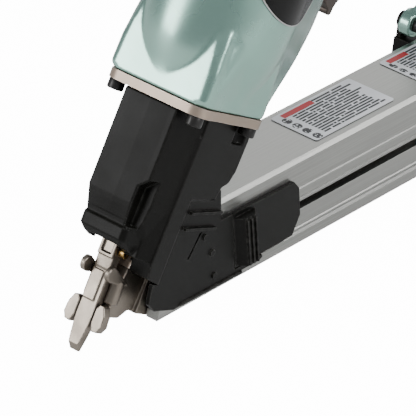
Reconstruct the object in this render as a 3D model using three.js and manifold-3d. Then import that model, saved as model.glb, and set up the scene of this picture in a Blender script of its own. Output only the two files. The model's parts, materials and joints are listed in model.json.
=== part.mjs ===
// Pneumatic strip nailer for metal connectors, with a straight rear-sloping magazine.
// Two frames are used. The drive frame has z up the driver's axis, x to the rear and -y to the left.
// The row frame has x along the magazine to the rear and z up. It leans on the drive frame by TILT.
import * as THREE from "three";
import { ConvexGeometry } from "three/addons/geometries/ConvexGeometry.js";
import { mergeVertices } from "three/addons/utils/BufferGeometryUtils.js";
import Module from "manifold-3d";

const wasm = await Module();
wasm.setup();

// ---- driving dimensions, in millimetres ----
const TILT = THREE.MathUtils.degToRad(26.2); // driver's axis away from the magazine's square
const GAP = 0.3; // clearance between neighbouring pieces
const BOLT_OUT = 29; // flange bolts sit at +-29 both ways: a 58 mm square pattern
const BOLT_R = 3; // M6 socket-head screws
const HEAD_R = 5;
const HEAD_H = 6;
const FLANGE_HALF = 36; // square nose flange
const FLANGE_H = 5.5;
const BARREL_R = 45; // cylinder housing
const BARREL_TOP = 150;
const SLEEVE_R = 31; // cylinder sleeve, outside
const PISTON_R = 27.6;
const WEB_REAR = 83; // rear edge of the web between barrel and handle
const WEB_HALF = 15.5;
const HANDLE_Z = 122;
const HANDLE_END = 262;
const COVER_HALF = 26; // nose cover, outside
const LEVER_HALF = 5.6; // probe blade of the push lever
const PROBE_END = -155.6; // tip of the probe on the driver's axis
const MAG_HALF = 22.2; // magazine extrusion
const MAG_LIP = 24.3; // half width of its top
const MAG_TOP = -60.2;
const MAG_BOTTOM = -124.7;
const MAG_FRONT = 12;
const MAG_REAR = 282;
const FLOOR = -134.2; // level that the probe's tip and the rear foot stand on

// ---- finishes ----
const ENAMEL = { color: 0xa3b8b0, roughness: 0.35, metalness: 0.6 };
const FLANGE_STEEL = { color: 0xc9b7a7, roughness: 0.5, metalness: 0.8 };
const NOSE_STEEL = { color: 0xa59d92, roughness: 0.42, metalness: 0.9 };
const BRIGHT_STEEL = { color: 0xb9b9b9, roughness: 0.3, metalness: 1 };
const BLACK_OXIDE = { color: 0x4a4745, roughness: 0.45, metalness: 0.8 };
const BLACK_PLASTIC = { color: 0x232321, roughness: 0.5, metalness: 0 };
const ALUMINIUM = { color: 0xa9aaa8, roughness: 0.38, metalness: 0.9 };
const RUBBER = { color: 0x1c1c1b, roughness: 0.85, metalness: 0 };
const BRASS = { color: 0xc9a562, roughness: 0.35, metalness: 1 };
const LABEL = { color: 0xcfd0d3, roughness: 0.5, metalness: 0 };

// ---- solids ----
const V = (x, y, z) => new THREE.Vector3(x, y, z);

// A three.js geometry as a manifold solid, turned right side out.
function solid(geometry) {
  const bare = new THREE.BufferGeometry();
  bare.setAttribute("position", geometry.getAttribute("position"));
  if (geometry.index) bare.setIndex(geometry.index);
  const merged = mergeVertices(bare, 1e-4);
  const triVerts = new Uint32Array(merged.index.array);
  const vertProperties = merged.getAttribute("position").array;
  const made = new wasm.Manifold(new wasm.Mesh({ numProp: 3, vertProperties, triVerts }));
  if (made.volume() > 0) return made;
  for (let i = 0; i < triVerts.length; i += 3) {
    [triVerts[i + 1], triVerts[i + 2]] = [triVerts[i + 2], triVerts[i + 1]];
  }
  return new wasm.Manifold(new wasm.Mesh({ numProp: 3, vertProperties, triVerts }));
}

const join = (first, ...rest) => rest.reduce((all, one) => all.add(one), first);
const cut = (first, ...rest) => rest.reduce((all, one) => all.subtract(one), first);

function block(x0, x1, y0, y1, z0, z1) {
  const geometry = new THREE.BoxGeometry(x1 - x0, y1 - y0, z1 - z0);
  return solid(geometry.translate((x0 + x1) / 2, (y0 + y1) / 2, (z0 + z1) / 2));
}

// A round rod from one point to another.
function rod(radius, from, to, sides = 16) {
  const along = to.clone().sub(from);
  const geometry = new THREE.CylinderGeometry(radius, radius, along.length(), sides);
  const turn = new THREE.Quaternion().setFromUnitVectors(V(0, 1, 0), along.clone().normalize());
  const middle = from.clone().add(to).multiplyScalar(0.5);
  return solid(geometry.applyQuaternion(turn).translate(middle.x, middle.y, middle.z));
}

const post = (radius, x, y, z0, z1, sides = 16) => rod(radius, V(x, y, z0), V(x, y, z1), sides);
const pin = (radius, x, z, y0, y1, sides = 16) => rod(radius, V(x, y0, z), V(x, y1, z), sides);

// A turned piece about the z axis through (0, 0), from [radius, z] pairs.
function turned(profile, sides = 28) {
  const points = profile.map(([r, z]) => new THREE.Vector2(r, z));
  return solid(new THREE.LatheGeometry(points, sides).rotateX(Math.PI / 2));
}

const outline = (points) => new THREE.Shape(points.map(([x, y]) => new THREE.Vector2(x, y)));

// A plate of an outline in x and y, from height z0 to z1.
function platform(shape, z0, z1, curveSegments = 4) {
  const geometry = new THREE.ExtrudeGeometry(shape, { depth: z1 - z0, bevelEnabled: false, curveSegments });
  return solid(geometry.translate(0, 0, z0));
}

// A plate of an outline in x and z, from side y0 to y1.
function cheek(shape, y0, y1, curveSegments = 4) {
  const geometry = new THREE.ExtrudeGeometry(shape, { depth: y1 - y0, bevelEnabled: false, curveSegments });
  return solid(geometry.rotateX(Math.PI / 2).translate(0, y1, 0));
}

// A bar of an outline in y and z, from x0 to x1.
function bar(shape, x0, x1, curveSegments = 4) {
  const geometry = new THREE.ExtrudeGeometry(shape, { depth: x1 - x0, bevelEnabled: false, curveSegments });
  const along = new THREE.Matrix4().makeBasis(V(0, 1, 0), V(0, 0, 1), V(1, 0, 0));
  return solid(geometry.applyMatrix4(along).translate(x0, 0, 0));
}

const hull = (points) => solid(new ConvexGeometry(points));

// A closed skin through rings of the same number of points.
function loft(rings) {
  const count = rings[0].length;
  const index = [];
  const ends = [rings[0], rings[rings.length - 1]];
  const centres = ends.map((ring) => ring.reduce((sum, p) => sum.add(p), V(0, 0, 0)).divideScalar(count));
  rings.slice(1).forEach((ring, level) => {
    for (let i = 0; i < count; i++) {
      const [a, b] = [level * count + i, level * count + ((i + 1) % count)];
      index.push(a, b, b + count, a, b + count, a + count);
    }
  });
  const [low, high] = [rings.length * count, rings.length * count + 1];
  const lastRing = (rings.length - 1) * count;
  for (let i = 0; i < count; i++) {
    const next = (i + 1) % count;
    index.push(low, next, i, high, lastRing + i, lastRing + next);
  }
  const geometry = new THREE.BufferGeometry().setFromPoints([...rings.flat(), ...centres]);
  return solid(geometry.setIndex(index));
}

function roundedBox(width, height, radius, x = 0, y = 0) {
  const [w, h] = [width / 2 - radius, height / 2 - radius];
  const shape = new THREE.Shape();
  shape.absarc(x + w, y - h, radius, -Math.PI / 2, 0);
  shape.absarc(x + w, y + h, radius, 0, Math.PI / 2);
  shape.absarc(x - w, y + h, radius, Math.PI / 2, Math.PI);
  shape.absarc(x - w, y - h, radius, Math.PI, Math.PI * 1.5);
  return shape;
}

// The square bolting face: rounded ears at the corners, and sides drawn in a little beside them.
function flangeOutline() {
  const ear = 10;
  const [out, waist] = [FLANGE_HALF - ear, FLANGE_HALF - 1.8];
  const shape = new THREE.Shape();
  shape.moveTo(-FLANGE_HALF, -out);
  shape.absarc(-out, -out, ear, Math.PI, Math.PI * 1.5);
  shape.quadraticCurveTo(-14, -waist, 0, -FLANGE_HALF);
  shape.quadraticCurveTo(14, -waist, out, -FLANGE_HALF);
  shape.absarc(out, -out, ear, -Math.PI / 2, 0);
  shape.lineTo(FLANGE_HALF, out);
  shape.absarc(out, out, ear, 0, Math.PI / 2);
  shape.quadraticCurveTo(14, waist, 0, FLANGE_HALF);
  shape.quadraticCurveTo(-14, waist, -out, FLANGE_HALF);
  shape.absarc(-out, out, ear, Math.PI / 2, Math.PI);
  return shape;
}

const corners = [];
for (const x of [-BOLT_OUT, BOLT_OUT]) for (const y of [-BOLT_OUT, BOLT_OUT]) corners.push([x, y]);

// A socket-head screw along z. `up` is 1 when its head is on top, -1 when it is below.
function capScrew(x, y, seat, length, up) {
  const head = post(HEAD_R, x, y, Math.min(seat, seat + up * HEAD_H), Math.max(seat, seat + up * HEAD_H), 20);
  const [a, b] = [seat + up * 0.1, seat - up * length];
  const shank = post(BOLT_R, x, y, Math.min(a, b), Math.max(a, b), 12);
  const end = seat + up * HEAD_H;
  const socket = post(2.9, x, y, Math.min(end - up * 3, end + up), Math.max(end - up * 3, end + up), 6);
  return cut(join(head, shank), socket);
}

// ---- scene graph ----
const tool = new THREE.Group();
const drive = new THREE.Group(); // everything square to the driver's axis
drive.rotation.y = TILT;
const level = new THREE.Group(); // everything square to the magazine
tool.add(drive, level);

function piece(group, name, shape, finish) {
  const made = shape.getMesh();
  const geometry = new THREE.BufferGeometry();
  geometry.setAttribute("position", new THREE.BufferAttribute(made.vertProperties, 3));
  geometry.setIndex(new THREE.BufferAttribute(made.triVerts, 1));
  const flat = geometry.toNonIndexed();
  flat.computeVertexNormals();
  const mesh = new THREE.Mesh(flat, new THREE.MeshStandardMaterial(finish));
  mesh.name = name;
  group.add(mesh);
}

// A point of the drive frame, given in the row frame's x and z.
const toLevel = (x, z) => [x * Math.cos(TILT) + z * Math.sin(TILT), z * Math.cos(TILT) - x * Math.sin(TILT)];

// ---- body housing: magnesium casting with barrel, rear web and hollow handle ----

// Level section of the barrel and web: a round front that narrows to a rounded rear edge.
function bodyRing(radius, rear, half, z, grow = 0) {
  const edge = 6;
  const [cx, cy] = [rear - edge, half - edge];
  const reach = Math.hypot(cx, cy);
  const touch = Math.atan2(cy, cx) + Math.acos((radius - edge) / reach);
  const ring = [];
  const arc = (x, y, r, from, to, steps) => {
    for (let i = 0; i <= steps; i++) {
      const a = from + ((to - from) * i) / steps;
      ring.push(V(x + (r + grow) * Math.cos(a), y + (r + grow) * Math.sin(a), z));
    }
  };
  arc(cx, cy, edge, 0, touch, 4);
  arc(0, 0, radius, touch, 2 * Math.PI - touch, 20);
  arc(cx, -cy, edge, 2 * Math.PI - touch, 2 * Math.PI, 4);
  return ring;
}

function handleRing(x, middle, halfWidth, halfHeight, grow = 0) {
  const ring = [];
  for (let i = 0; i < 20; i++) {
    const a = (2 * Math.PI * i) / 20;
    const [c, s] = [Math.cos(a), Math.sin(a)];
    const y = (halfWidth + grow) * Math.sign(c) * Math.abs(c) ** 0.8;
    const z = (halfHeight + grow) * Math.sign(s) * Math.abs(s) ** 0.8;
    ring.push(V(x, y, middle + z));
  }
  return ring;
}

const BODY_FOOT = FLANGE_H + GAP;
const TRIGGER_PIVOT = [95, 101];
const PLUNGER_X = 126;

function bodyHousing() {
  const barrel = loft([
    bodyRing(35.8, 36, 33, BODY_FOOT),
    bodyRing(35.8, 38, 33, 17),
    bodyRing(37.5, 49, 29, 24),
    bodyRing(41, 64, 23, 36),
    bodyRing(44, 76, 18, 50),
    bodyRing(BARREL_R, WEB_REAR, WEB_HALF, 62),
    bodyRing(BARREL_R, WEB_REAR, WEB_HALF, 130),
    bodyRing(BARREL_R, 66, 19, 143),
    bodyRing(BARREL_R, 52, 26, BARREL_TOP),
  ]);
  const foot = platform(flangeOutline(), BODY_FOOT, 15);
  const head = platform(flangeOutline(), BARREL_TOP - 7, BARREL_TOP);
  const face = hull([-27, 27].flatMap((y) => [
    V(-35.8, y, 14), V(-35.8, y, 40), V(-33, y, 52), V(0, y, 14), V(0, y, 54),
  ]));
  const pillars = corners.flatMap(([x, y]) => [
    pillar(x, y, 10, x < 0 ? 48 : 12), pillar(x, y, BARREL_TOP - 4, -15),
  ]);
  const handle = loft([
    handleRing(40, 114, 20, 36),
    handleRing(84, 117, 18, 30),
    handleRing(104, 120, 17, 24.5),
    handleRing(134, HANDLE_Z, 16.5, 21.5),
    handleRing(236, HANDLE_Z, 16.5, 21.5),
    handleRing(HANDLE_END, HANDLE_Z, 19, 24),
  ]);
  const bore = turned([
    [0, 0], [25, 0], [25, 11.7], [SLEEVE_R + GAP, 11.7], [SLEEVE_R + GAP, 26], [33.5, 28], [33.5, 50],
    [39, 60], [39, 104], [SLEEVE_R + GAP, 106], [SLEEVE_R + GAP, 112], [37, 112], [37, 160], [0, 160],
  ]);
  const chamber = loft([
    handleRing(20, 126, 10.5, 11), handleRing(120, 126, 10.5, 11),
    handleRing(140, 124, 11.5, 14), handleRing(HANDLE_END + 1, 124, 11.5, 14),
  ]);
  const [tx, tz] = TRIGGER_PIVOT;
  const triggerSlot = block(86, 134, -4.6, 4.6, 84, tz + 8);
  const pinHole = pin(2.3 + GAP, tx, tz, -30, 30, 12);
  const valveHole = join(post(7 + GAP, PLUNGER_X, 0, 90, 120, 20), post(9.2, PLUNGER_X, 0, 90, 99.2, 16));
  const screwHoles = corners.flatMap(([x, y]) => [
    post(BOLT_R + GAP, x, y, 0, 26, 12), post(BOLT_R + GAP, x, y, BARREL_TOP - 20, 160, 12),
  ]);
  const capHoles = capScrewPlaces.map(([y, z]) => (
    rod(2 + GAP, V(HANDLE_END - 14, y, z), V(HANDLE_END + 5, y, z), 8)
  ));
  const shell = join(barrel, foot, head, face, ...pillars, handle);
  return cut(shell, bore, chamber, triggerSlot, pinHole, valveHole, ...screwHoles, ...capHoles);
}

// A round column over a screw hole that leans in and fades into the barrel.
function pillar(x, y, foot, tall) {
  const points = [];
  const rings = [[0.97, 8, 0], [0.955, 8, 0.45], [0.93, 5.5, 1]];
  for (const [inward, radius, share] of rings) {
    for (let i = 0; i < 12; i++) {
      const a = (Math.PI * i) / 6;
      const [cx, cy] = [x * inward, y * inward];
      points.push(V(cx + radius * Math.cos(a), cy + radius * Math.sin(a), foot + tall * share));
    }
  }
  return hull(points);
}

const capScrewPlaces = [[-14.2, 108], [14.2, 108], [0, 142.4]];

// ---- pressure parts ----
function cylinderSleeve() {
  const outer = [[SLEEVE_R, 12], [SLEEVE_R, 112.3], [36.7, 112.3], [36.7, 118]];
  return turned([[PISTON_R + GAP, 12], ...outer, [PISTON_R + GAP, 118], [PISTON_R + GAP, 12]]);
}

function piston() {
  const crown = [[0, 98], [20, 98], [22, 101], [PISTON_R, 101], [PISTON_R, 104.2], [25, 104.2]];
  const top = [[25, 107.8], [PISTON_R, 107.8], [PISTON_R, 112], [17, 112], [15, 107], [0, 107]];
  return turned([...crown, ...top]);
}

function pistonRing() {
  const outer = PISTON_R + 0.1;
  return turned([[25.3, 104.5], [outer, 104.5], [outer, 107.5], [25.3, 107.5], [25.3, 104.5]]);
}

function driverBlade() {
  const blade = block(-3.1, 3.1, -3.4, 3.4, -60, 92);
  const collar = post(6, 0, 0, 88, 97.7, 16);
  return join(blade, collar);
}

function pistonBumper() {
  return turned([[8, 8], [24.5, 8], [24.5, 12.3], [27.3, 12.5], [27.3, 19], [22, 27], [8, 27], [8, 8]]);
}

function headValve() {
  const skirt = [[0, 118.4], [12, 118.4], [14, 121], [26, 121], [28, 118.4], [36.4, 118.4], [36.4, 130]];
  const hub = [[32, 130], [30, 124.5], [13, 124.5], [8.7, 128], [8.7, 151], [0, 151]];
  return turned([...skirt, ...hub]);
}

// A wire spring about the z axis at (x, y).
function coil(x, y, radius, wire, z0, z1, turns) {
  const steps = turns * 10;
  const points = [];
  for (let i = 0; i <= steps; i++) {
    const a = (2 * Math.PI * turns * i) / steps;
    points.push(V(x + radius * Math.cos(a), y + radius * Math.sin(a), z0 + ((z1 - z0) * i) / steps));
  }
  const section = new THREE.Shape().absarc(0, 0, wire, 0, 2 * Math.PI);
  const extrudePath = new THREE.CatmullRomCurve3(points);
  const settings = { steps, curveSegments: 3, bevelEnabled: false, extrudePath };
  return solid(new THREE.ExtrudeGeometry(section, settings));
}

function headCap() {
  const plateau = platform(flangeOutline(), BARREL_TOP + GAP, 160);
  const crown = turned([[0, 159], [38, 159], [37, 163], [33, 166], [0, 166]]);
  const hubBore = turned([[0, 150], [9.2, 150], [9.2, 159], [0, 159]], 20);
  const ports = [0, 1, 2, 3].map((i) => {
    const a = Math.PI * (0.25 + i / 2);
    return post(4, 16 * Math.cos(a), 16 * Math.sin(a), 150, 167, 12);
  });
  const holes = corners.map(([x, y]) => post(BOLT_R + GAP, x, y, 150, 161, 12));
  const seats = corners.map(([x, y]) => post(HEAD_R + 1.2, x, y, 160, 168, 20));
  const screwHole = post(2.5 + GAP, 0, 0, 161, 167, 12);
  return cut(join(plateau, crown), hubBore, ...ports, ...holes, ...seats, screwHole);
}

function exhaustDeflector() {
  const outer = turned([
    [0, 166.4], [25, 166.4], [26, 170], [25, 178], [21, 182], [7.5, 182], [7.5, 178.3], [0, 178.3],
  ]);
  const hollow = turned([[6, 165], [22.5, 165], [22.5, 174], [19, 176.5], [6, 176.5], [6, 165]]);
  const mouth = block(10, 30, -13, 13, 168, 176);
  return cut(outer, hollow, mouth, post(2.5 + GAP, 0, 0, 160, 180, 12));
}

function deflectorScrew() {
  const screw = join(post(6, 0, 0, 178.6, 181.8, 20), post(2.5, 0, 0, 162, 178.8, 12));
  return cut(screw, block(-0.8, 0.8, -7, 7, 180.6, 183));
}

// ---- nose ----
function noseFlange() {
  const plateau = platform(flangeOutline(), 0, FLANGE_H);
  const spigot = post(24.6, 0, 0, 5, 7.7, 32);
  const column = block(-8.5, 20, -11.5, 11.5, -99.7, 1);
  const channel = block(-3.6, 3.6, -3.8, 3.8, -110, 10);
  const nailGate = block(3, 30, -3.8, 3.8, -110, -66);
  const holes = corners.map(([x, y]) => post(BOLT_R + GAP, x, y, -1, 7, 12));
  return cut(join(plateau, spigot, column), channel, nailGate, ...holes);
}

// The lower end of the nose: nail gate, round columns, lever ears and claws, in one forging.
function driverGuide() {
  const core = cheek(outline([
    [-7, -100], [14, -100], [14, -124.3], [9, -125.4], [2, -130.8], [-9, -131.2], [-10.5, -122],
  ]), -10, 10);
  const rearPlate = block(14, 23, -12.5, 12.5, -126, -100);
  const chamfer = [-1, 1].map((s) => hull([-101, -125].flatMap((z) => [
    V(14, s * 9.5, z), V(14, s * 11.5, z), V(16.5, s * 12.5, z), V(20, s * 9.5, z),
  ])));
  const sides = [-1, 1].flatMap((s) => {
    const across = (a, b) => [Math.min(s * a, s * b), Math.max(s * a, s * b)];
    const ear = new THREE.Shape();
    ear.moveTo(-2, -100.3);
    ear.absarc(-20.5, -105.2, 4.9, Math.PI / 2, Math.PI * 1.5);
    ear.lineTo(-2, -110);
    const claw = bar(outline([
      [s * 6.2, -127], [s * 8, -124.6], [s * 11.2, -124.6], [s * 13.6, -130],
      [s * 14.2, -136.5], [s * 12, -140.6], [s * 8, -141], [s * 6.2, -136],
    ]), -18, -11.5);
    const neck = block(-12.5, -6, ...across(6.2, 9.8), -131, -124.8);
    const tab = block(22.5, 30, ...across(8, 12.5), -126, -119.5);
    return [cheek(ear, ...across(7.4, 10.8)), post(5, -8, s * 6.6, -123, -109, 20), claw, neck, tab];
  });
  const channel = block(-3.6, 3.6, -3.8, 3.8, -140, -90);
  const nailGate = block(3, 40, -3.8, 3.8, -140, -90);
  const front = block(-30, -7.5, -6.05, 6.05, -145, -98);
  return cut(join(core, rearPlate, ...chamfer, ...sides), channel, nailGate, front);
}

// Plastic shroud over the nose: a deep front box, two side wings, and a bumper band at its foot.
function noseCover() {
  const pair = (x, y, z) => [V(x, -y, z), V(x, y, z)];
  const prow = hull([-0.5, -61].flatMap((z) => [
    ...pair(-34.5, 19, z), ...pair(-28, 20.5, z), ...pair(-9, 25, z),
  ]));
  const lower = hull([
    ...pair(-34.5, 18.8, -60.5), ...pair(-9, 25, -60), ...pair(-31.5, 14.4, -72.5), ...pair(-9, 22, -88),
    ...pair(-31, 13, -84),
  ]);
  const sideStep = hull([-40, -26].flatMap((x) => [
    V(x, -13.2, -50), V(x, -19, -44.5), V(x, -30, -44.5), V(x, -12.6, -74), V(x, -30, -74),
  ]));
  const band = hull([-75.5, -83].flatMap((z) => [
    ...pair(-34.4, 14, z), ...pair(-32, 16.6, z), ...pair(-20, 19, z),
  ]).concat([...pair(-31, 13, -86.5), ...pair(-20, 16, -90)]));
  const rear = [
    [-9.3, -0.5], [40, -0.5], [40, -12], [39.4, -29], [36.5, -36.5], [31, -40], [29, -47.5], [4.5, -50],
  ];
  const nearWing = cheek(outline([...rear, [4.5, -103], [-9, -100.6], [-11, -91.5]]), -COVER_HALF, 0);
  const farWing = cheek(outline([...rear, [4.5, -83], [-9.3, -80]]), 0, COVER_HALF);
  const shoulder = (side, low) => hull([-13, low].flatMap((z) => [
    V(-20, 0, z), V(-20, side * 20, z), V(-9, side * COVER_HALF, z), V(4, side * COVER_HALF, z), V(4, 0, z),
  ]));
  const wings = join(nearWing, farWing, shoulder(-1, -91), shoulder(1, -80));
  const hollows = [
    sideStep,
    block(-30.3, -9, -10.5, 10.5, -100, 5),
    block(-10, 50, -12.2, 12.2, -106, 5),
    block(-6, 50, -23.6, 23.6, -90, -16),
    block(-6, 50, -21, 21, -20, 5),
  ];
  const boltPockets = corners.map(([x, y]) => post(7, x, y, -13, 5, 20));
  return cut(join(prow, lower, band, wings), ...hollows, ...boltPockets);
}

// The sprung contact arm: a stem in the cover, a hooked boss and the long probe.
function pushLever() {
  const half = LEVER_HALF;
  const probe = bar(outline([
    [-half, -96], [-half, -138], [-4.4, -147.5], [-3, PROBE_END], [3, PROBE_END], [4.4, -147.5], [half, -138],
    [half, -96],
  ]), -18, -12.2);
  const tipSlope = hull([-8, 8].flatMap((y) => [
    V(-19, y, -150.5), V(-19, y, -158), V(-13.6, y, -156.6), V(-13.6, y, -158),
  ]));
  const boss = block(-20.6, -11.6, -half, half, -97, -74);
  const recess = block(-22, -19, -3.5, 3.5, -94.8, -78);
  const step = hull([-half, half].flatMap((y) => [
    V(-19.2, y, -96.9), V(-18, y, -96.9), V(-18, y, -105), V(-18.6, y, -104),
    V(-13, y, -96.9), V(-13, y, -105),
  ]));
  const panel = block(-18.6, -17, -2.7, half, -124, -106);
  const stem = block(-17.5, -12.5, -half, half, -75, -33);
  const seat = block(-20, -10, -half, half, -36, -32);
  return cut(join(probe, boss, step, panel, stem, seat), tipSlope, recess);
}

const brassBush = () => cut(pin(3.2, -14.1, -92, -9.9, -6.2, 16), pin(1.2, -14.1, -92, -11, -5, 8));

// ---- trigger ----
function trigger() {
  const [px, pz] = TRIGGER_PIVOT;
  const side = new THREE.Shape();
  side.moveTo(px - 5, pz);
  side.bezierCurveTo(px - 4, pz - 12, px + 1, pz - 22, px + 12.5, pz - 28);
  side.absarc(px + 15, pz - 28.6, 2.7, Math.PI * 0.95, Math.PI * 1.9);
  side.bezierCurveTo(px + 17, pz - 23, px + 21, pz - 17, px + 36, pz - 14.4);
  side.lineTo(px + 36, pz - 11.4);
  side.lineTo(px + 16, pz - 10.2);
  side.lineTo(px + 4, pz + 4);
  side.absarc(px, pz, 5, Math.PI * 0.25, Math.PI);
  return cut(cheek(side, -4, 4, 6), pin(2.3 + GAP, px, pz, -10, 10, 12));
}

const triggerPin = () => pin(2.3, ...TRIGGER_PIVOT, -16.6, 16.6, 12);

function valveBushing() {
  const shell = join(post(7, PLUNGER_X, 0, 99, 118, 20), post(8.8, PLUNGER_X, 0, 95.8, 98.8, 6));
  return cut(join(shell, post(7, PLUNGER_X, 0, 98, 100, 20)), post(2.8, PLUNGER_X, 0, 90, 120, 12));
}

const plunger = () => post(2.5, PLUNGER_X, 0, 90.5, 117, 12);

// ---- handle ----
function handleGrip() {
  const shape = (grow) => loft([
    handleRing(140, HANDLE_Z, 16.5, 21.5, grow),
    handleRing(176, HANDLE_Z, 16.5, 21.5, grow + (grow > 1 ? 1.2 : 0)),
    handleRing(212, HANDLE_Z, 16.5, 21.5, grow), handleRing(234, HANDLE_Z, 16.5, 21.5, grow),
  ]);
  const through = loft([138, 236].map((x) => handleRing(x, HANDLE_Z, 16.5, 21.5, GAP)));
  return cut(shape(2.4), through);
}

const BOSS_X = 268; // round boss that ties the handle's end to the magazine
const BOSS_Z = -50;

// Cast cap that closes the handle and reaches down its right side to the magazine's bracket.
function handleEndCap() {
  const bx = BOSS_X * Math.cos(TILT) - BOSS_Z * Math.sin(TILT);
  const bz = BOSS_X * Math.sin(TILT) + BOSS_Z * Math.cos(TILT);
  const cap = bar(roundedBox(40, 50, 12, 0, HANDLE_Z), HANDLE_END + GAP, HANDLE_END + 13);
  const boss = pin(9, bx, bz, 23, 31, 24);
  const arm = hull([
    ...[23.5, 30.5].flatMap((y) => [V(bx - 6.5, y, bz + 2), V(bx + 7.5, y, bz + 2)]),
    ...[8, 19.5].flatMap((y) => [V(HANDLE_END + 1, y, 104), V(HANDLE_END + 12.5, y, 104)]),
  ]);
  const elbow = hull([104, 120].flatMap((z) => [8, 19.5].flatMap((y) => [
    V(HANDLE_END + 1, y, z), V(HANDLE_END + 12.5, y, z),
  ])));
  const rib = hull([
    V(bx + 7, 26, bz + 4), V(bx + 7, 29, bz + 4), V(bx + 11, 26, bz + 6), V(bx + 11, 29, bz + 6),
    V(HANDLE_END + 12, 14, 98), V(HANDLE_END + 12, 17, 98),
    V(HANDLE_END + 15, 14, 103), V(HANDLE_END + 15, 17, 103),
  ]);
  const inlet = rod(6.6, V(HANDLE_END - 1, 0, HANDLE_Z), V(HANDLE_END + 20, 0, HANDLE_Z), 16);
  const along = ([y, z], radius, from, sides) => rod(radius, V(from, y, z), V(HANDLE_END + 20, y, z), sides);
  const holes = capScrewPlaces.map((place) => along(place, 2 + GAP, HANDLE_END - 1, 8));
  const seats = capScrewPlaces.map((place) => along(place, 4.2, HANDLE_END + 10, 12));
  const screwWay = join(pin(BOLT_R + GAP, bx, bz, 20, 40, 12), pin(HEAD_R + 0.6, bx, bz, 10, 22.9, 20));
  return cut(join(cap, boss, arm, elbow, rib), inlet, ...holes, ...seats, screwWay);
}

function airPlug() {
  const x = HANDLE_END;
  const shank = [
    [0, 4], [6.3, 4], [6.3, 13.3], [9, 13.3], [9, 19], [6, 20], [6, 24], [4.6, 26], [4.6, 30],
    [6, 32], [6, 38], [5, 40], [0, 40],
  ];
  const plug = new THREE.LatheGeometry(shank.map(([r, h]) => new THREE.Vector2(r, h)), 20);
  const body = solid(plug.rotateZ(-Math.PI / 2).translate(x, 0, HANDLE_Z));
  return cut(body, rod(3.4, V(x, 0, HANDLE_Z), V(x + 50, 0, HANDLE_Z), 12));
}

function capSideScrew(y, z) {
  const x = HANDLE_END + 10.3;
  return join(rod(3.6, V(x, y, z), V(x + 3, y, z), 12), rod(2, V(x - 20, y, z), V(x + 0.2, y, z), 8));
}

// The name badge: a thin round plate bent over the barrel's left side.
function badge() {
  const skin = (grow) => loft([60, 150].map((z) => bodyRing(BARREL_R, WEB_REAR, WEB_HALF, z, grow)));
  const stamp = pin(39, 2, 103.5, -70, -8, 48);
  return cut(skin(1.1), skin(GAP)).intersect(stamp);
}

// ---- magazine ----

// Section of the extrusion: closed top, guide slot low on each side, foot rail, open bottom groove.
function magazineSection() {
  const half = [
    [0, MAG_TOP], [MAG_LIP - 2.3, MAG_TOP], [MAG_LIP, MAG_TOP - 2.3], [MAG_HALF, -72.6], [MAG_HALF, -82.6],
    [MAG_HALF - 0.7, -83.4],
    [MAG_HALF, -84.2], [MAG_HALF, -85.2], [MAG_HALF - 0.9, -85.8], [MAG_HALF - 0.9, -91.2], [MAG_HALF, -91.8],
    [MAG_HALF, -93.3], [18.6, -93.3], [18.6, -98.9], [MAG_HALF, -98.9], [MAG_HALF, -101], [20.8, -112.4],
    [20, -113], [20.8, -113.8], [20.8, -115.6], [MAG_HALF, -116.6], [MAG_HALF, MAG_BOTTOM + 1],
    [MAG_HALF - 1, MAG_BOTTOM],
  ];
  return outline([...half, ...half.slice(1).reverse().map(([y, z]) => [-y, z])]);
}

function magazineBody() {
  const whole = bar(magazineSection(), -40, MAG_REAR);
  const channel = block(-60, MAG_REAR + 5, -15.5, 15.5, -119, MAG_TOP - 3);
  const feederSlot = block(34, 264, -30, -10, -98.9, -93.3);
  const nose = cheek(outline([
    [-60, -40], [MAG_FRONT, -40], [MAG_FRONT + 2.5, -73],
    toLevel(40, -73), toLevel(31.2, -80), toLevel(31.2, -116),
    [-33, -116.5], [-33, -140], [-60, -140],
  ]), -40, 40);
  const notch = pin(5.5, MAG_FRONT + 1, -50, -40, 40, 16).intersect(block(0, 40, -14, 14, -70, -40));
  const bay = [[0, -90], [31, -90], [31, -150], [0, -150]].map(([x, z]) => toLevel(x, z));
  const noseBay = cheek(outline(bay), -13.2, 13.2);
  const endHoles = endScrewPlaces.map(([y, z]) => (
    rod(2 + GAP, V(MAG_REAR - 12, y, z), V(MAG_REAR + 1, y, z), 8)
  ));
  const bracketSeat = block(256, MAG_REAR + 5, MAG_HALF, 30, -80, -50);
  return cut(whole, channel, feederSlot, nose, notch, noseBay, bracketSeat, ...endHoles);
}

const endScrewPlaces = [[-18.4, -70], [18.4, -70], [-17.2, -121.8], [17.2, -121.8]];

// Hardened strip along the channel's floor that the nail points run on.
const nailRail = () => block(2, MAG_REAR - 4, -5, 5, -118.7, -113);

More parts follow.
